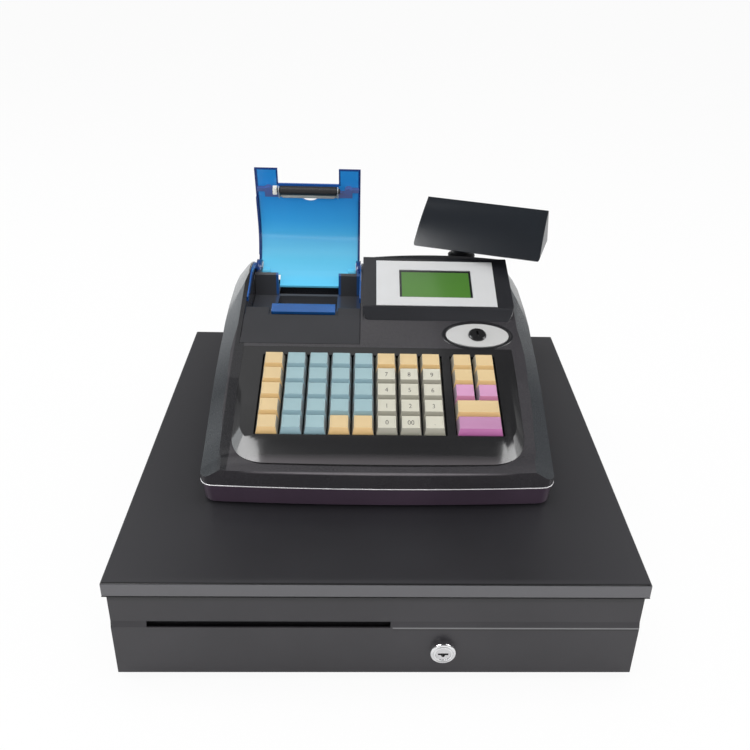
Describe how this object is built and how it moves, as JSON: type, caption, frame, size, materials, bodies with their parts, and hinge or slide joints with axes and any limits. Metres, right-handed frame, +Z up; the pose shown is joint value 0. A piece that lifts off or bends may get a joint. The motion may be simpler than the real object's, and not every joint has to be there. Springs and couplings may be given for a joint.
{
  "type": "electronic cash register",
  "caption": "Electronic cash register with a raised-key keyboard, receipt printer under a hinged door, two displays and a steel cash drawer.",
  "frame": {"origin": "centre of the footprint on the counter", "axes": "+X to the operator's right, -Y towards the operator, +Z up"},
  "size_m": [0.41, 0.4194, 0.3017],
  "materials": {
    "bezel_silver": "silver film",
    "bin_plastic": "matte",
    "board": "solder mask",
    "bracket_blue": "gloss",
    "bracket_steel": "zinc plated",
    "clip_steel": "satin",
    "cover_plastic": "semi-gloss",
    "cup_plastic": "grained",
    "deck_plastic": "semi-gloss",
    "door_blue": "translucent gloss",
    "drawer_paint": "satin powder coat",
    "foot_rubber": "matte",
    "front_paint": "satin powder coat",
    "gear_white": "moulded",
    "head_plastic": "gloss",
    "inlet_plastic": "matte",
    "insert_plastic": "grained",
    "key_beige": "satin",
    "key_blue": "satin",
    "key_cream": "satin",
    "key_pink": "satin",
    "latch_steel": "satin",
    "lcd_green": "gloss",
    "lid_paint": "satin powder coat",
    "lock_chrome": "polished",
    "lower_plastic": "satin",
    "mode_black": "gloss",
    "mode_silver": "silver film",
    "neck_plastic": "semi-gloss",
    "plug_chrome": "polished",
    "pod_plastic": "semi-gloss",
    "printer_metal": "cast",
    "rod_steel": "bright",
    "roller_rubber": "ground",
    "slide_zinc": "zinc plated",
    "switch_plastic": "matte",
    "tear_blue": "gloss",
    "tray_paint": "satin",
    "trim_blue": "gloss",
    "upper_plastic": "semi-gloss",
    "window_dark": "tinted",
    "yoke_steel": "satin"
  },
  "bodies": {
    "cabinet": {"drawer_housing": "drawer_paint", "drawer_lid": "lid_paint", "rubber_feet": "foot_rubber", "slide_outer": "slide_zinc", "release_solenoid": "bracket_steel", "lower_case": "lower_plastic", "upper_case": "upper_plastic", "key_deck": "deck_plastic", "switch_plate": "switch_plastic", "circuit_board": "board", "power_inlet": "inlet_plastic", "printer_cover": "cover_plastic", "tear_bar": "tear_blue", "print_head": "printer_metal", "paper_bin": "bin_plastic", "bay_trim": "trim_blue", "display_housing": "pod_plastic", "display_bezel": "bezel_silver", "display_glass": "lcd_green", "mode_plate": "mode_silver"},
    "drawer": {"drawer_tray": "tray_paint", "drawer_front": "front_paint", "cash_insert": "insert_plastic", "coin_cups": "cup_plastic", "note_dividers": "insert_plastic", "clip_rod": "rod_steel", "slide_inner": "slide_zinc", "lock_body": "lock_chrome"},
    "slide_mid": {"slide_middle": "slide_zinc"},
    "door": {"paper_door": "door_blue", "platen_bracket": "bracket_blue", "platen_yoke": "yoke_steel"},
    "platen": {"platen_roller": "roller_rubber", "platen_gear": "gear_white"},
    "display": {"display_neck": "neck_plastic", "display_head": "head_plastic", "display_window": "window_dark"},
    "mode_turn": {"mode_lock": "mode_black"},
    "lock_turn": {"lock_plug": "plug_chrome"},
    "clips": {"bill_clips": "clip_steel"},
    "latch": {"latch_lever": "latch_steel"},
    "key_0": {"key_0": "key_beige"},
    "key_00": {"key_00": "key_beige"},
    "key_point": {"key_point": "key_beige"},
    "key_1": {"key_1": "key_beige"},
    "key_2": {"key_2": "key_beige"},
    "key_3": {"key_3": "key_beige"},
    "key_4": {"key_4": "key_beige"},
    "key_5": {"key_5": "key_beige"},
    "key_6": {"key_6": "key_beige"},
    "key_7": {"key_7": "key_beige"},
    "key_8": {"key_8": "key_beige"},
    "key_9": {"key_9": "key_beige"},
    "key_total": {"key_total": "key_cream"},
    "key_cash": {"key_cash": "key_pink"},
    "keys_right_low": {"keys_right_low": "key_pink"},
    "keys_right_upper": {"keys_right_upper": "key_cream"},
    "keys_function": {"keys_function": "key_cream"},
    "keys_blue_a": {"keys_blue_a": "key_blue"},
    "keys_blue_b": {"keys_blue_b": "key_blue"}
  },
  "joints": [
    {"name": "drawer_slide", "type": "slide", "parent": "cabinet", "child": "drawer", "axis": [0, -1, 0], "range_m": [0, 0.3]},
    {"name": "slide_mid_slide", "type": "slide", "parent": "cabinet", "child": "slide_mid", "axis": [0, -1, 0], "range_m": [0, 0.15]},
    {"name": "door_hinge", "type": "hinge", "parent": "cabinet", "child": "door", "pos_m": [0, 0.17726, 0.18969], "axis": [1, 0, 0], "range_deg": [0, 90]},
    {"name": "display_swivel", "type": "hinge", "parent": "cabinet", "child": "display", "pos_m": [0.087, 0.15725, 0.24], "axis": [0, 0, 1], "range_deg": [-70, 106]},
    {"name": "platen_turn", "type": "hinge", "parent": "door", "child": "platen", "pos_m": [-0.0722, 0.17657, 0.27921], "axis": [1, 0, 0], "continuous": true},
    {"name": "mode_lock_turn", "type": "hinge", "parent": "cabinet", "child": "mode_turn", "pos_m": [0.0935, 0.04025, 0.18475], "axis": [0, -0.2756, 0.9613], "range_deg": [-90, 90]},
    {"name": "drawer_lock_turn", "type": "hinge", "parent": "drawer", "child": "lock_turn", "pos_m": [0.0508, -0.20375, 0.0335], "axis": [0, -1, 0], "range_deg": [0, 90]},
    {"name": "note_clips_lift", "type": "hinge", "parent": "drawer", "child": "clips", "pos_m": [0, 0.10775, 0.0643], "axis": [-1, 0, 0], "range_deg": [0, 65], "stiffness_Nm_per_rad": 0.15, "springref_deg": -20.05},
    {"name": "latch_turn", "type": "hinge", "parent": "cabinet", "child": "latch", "pos_m": [-0.016, 0.16905, 0.0202], "axis": [0, 0, 1], "range_deg": [0, 12]},
    {"name": "key_0_press", "type": "slide", "parent": "cabinet", "child": "key_0", "axis": [0, 0.2756, -0.9613], "range_m": [0, 0.0036], "stiffness_N_per_m": 150, "springref_m": -0.002},
    {"name": "key_00_press", "type": "slide", "parent": "cabinet", "child": "key_00", "axis": [0, 0.2756, -0.9613], "range_m": [0, 0.0036], "stiffness_N_per_m": 150, "springref_m": -0.002},
    {"name": "key_point_press", "type": "slide", "parent": "cabinet", "child": "key_point", "axis": [0, 0.2756, -0.9613], "range_m": [0, 0.0036], "stiffness_N_per_m": 150, "springref_m": -0.002},
    {"name": "key_1_press", "type": "slide", "parent": "cabinet", "child": "key_1", "axis": [0, 0.2756, -0.9613], "range_m": [0, 0.0036], "stiffness_N_per_m": 150, "springref_m": -0.002},
    {"name": "key_2_press", "type": "slide", "parent": "cabinet", "child": "key_2", "axis": [0, 0.2756, -0.9613], "range_m": [0, 0.0036], "stiffness_N_per_m": 150, "springref_m": -0.002},
    {"name": "key_3_press", "type": "slide", "parent": "cabinet", "child": "key_3", "axis": [0, 0.2756, -0.9613], "range_m": [0, 0.0036], "stiffness_N_per_m": 150, "springref_m": -0.002},
    {"name": "key_4_press", "type": "slide", "parent": "cabinet", "child": "key_4", "axis": [0, 0.2756, -0.9613], "range_m": [0, 0.0036], "stiffness_N_per_m": 150, "springref_m": -0.002},
    {"name": "key_5_press", "type": "slide", "parent": "cabinet", "child": "key_5", "axis": [0, 0.2756, -0.9613], "range_m": [0, 0.0036], "stiffness_N_per_m": 150, "springref_m": -0.002},
    {"name": "key_6_press", "type": "slide", "parent": "cabinet", "child": "key_6", "axis": [0, 0.2756, -0.9613], "range_m": [0, 0.0036], "stiffness_N_per_m": 150, "springref_m": -0.002},
    {"name": "key_7_press", "type": "slide", "parent": "cabinet", "child": "key_7", "axis": [0, 0.2756, -0.9613], "range_m": [0, 0.0036], "stiffness_N_per_m": 150, "springref_m": -0.002},
    {"name": "key_8_press", "type": "slide", "parent": "cabinet", "child": "key_8", "axis": [0, 0.2756, -0.9613], "range_m": [0, 0.0036], "stiffness_N_per_m": 150, "springref_m": -0.002},
    {"name": "key_9_press", "type": "slide", "parent": "cabinet", "child": "key_9", "axis": [0, 0.2756, -0.9613], "range_m": [0, 0.0036], "stiffness_N_per_m": 150, "springref_m": -0.002},
    {"name": "key_total_press", "type": "slide", "parent": "cabinet", "child": "key_total", "axis": [0, 0.2756, -0.9613], "range_m": [0, 0.0036], "stiffness_N_per_m": 150, "springref_m": -0.002},
    {"name": "key_cash_press", "type": "slide", "parent": "cabinet", "child": "key_cash", "axis": [0, 0.2756, -0.9613], "range_m": [0, 0.0036], "stiffness_N_per_m": 150, "springref_m": -0.002},
    {"name": "keys_right_low_press", "type": "slide", "parent": "cabinet", "child": "keys_right_low", "axis": [0, 0.2756, -0.9613], "range_m": [0, 0.0036], "stiffness_N_per_m": 300, "springref_m": -0.002},
    {"name": "keys_right_upper_press", "type": "slide", "parent": "cabinet", "child": "keys_right_upper", "axis": [0, 0.2756, -0.9613], "range_m": [0, 0.0036], "stiffness_N_per_m": 600, "springref_m": -0.002},
    {"name": "keys_function_press", "type": "slide", "parent": "cabinet", "child": "keys_function", "axis": [0, 0.2756, -0.9613], "range_m": [0, 0.0036], "stiffness_N_per_m": 1200, "springref_m": -0.002},
    {"name": "keys_blue_a_press", "type": "slide", "parent": "cabinet", "child": "keys_blue_a", "axis": [0, 0.2756, -0.9613], "range_m": [0, 0.0036], "stiffness_N_per_m": 1500, "springref_m": -0.002},
    {"name": "keys_blue_b_press", "type": "slide", "parent": "cabinet", "child": "keys_blue_b", "axis": [0, 0.2756, -0.9613], "range_m": [0, 0.0036], "stiffness_N_per_m": 1500, "springref_m": -0.002}
  ],
  "couplings": [
    {"joint": "slide_mid_slide", "follows": "drawer_slide", "ratio": 0.5}
  ]
}
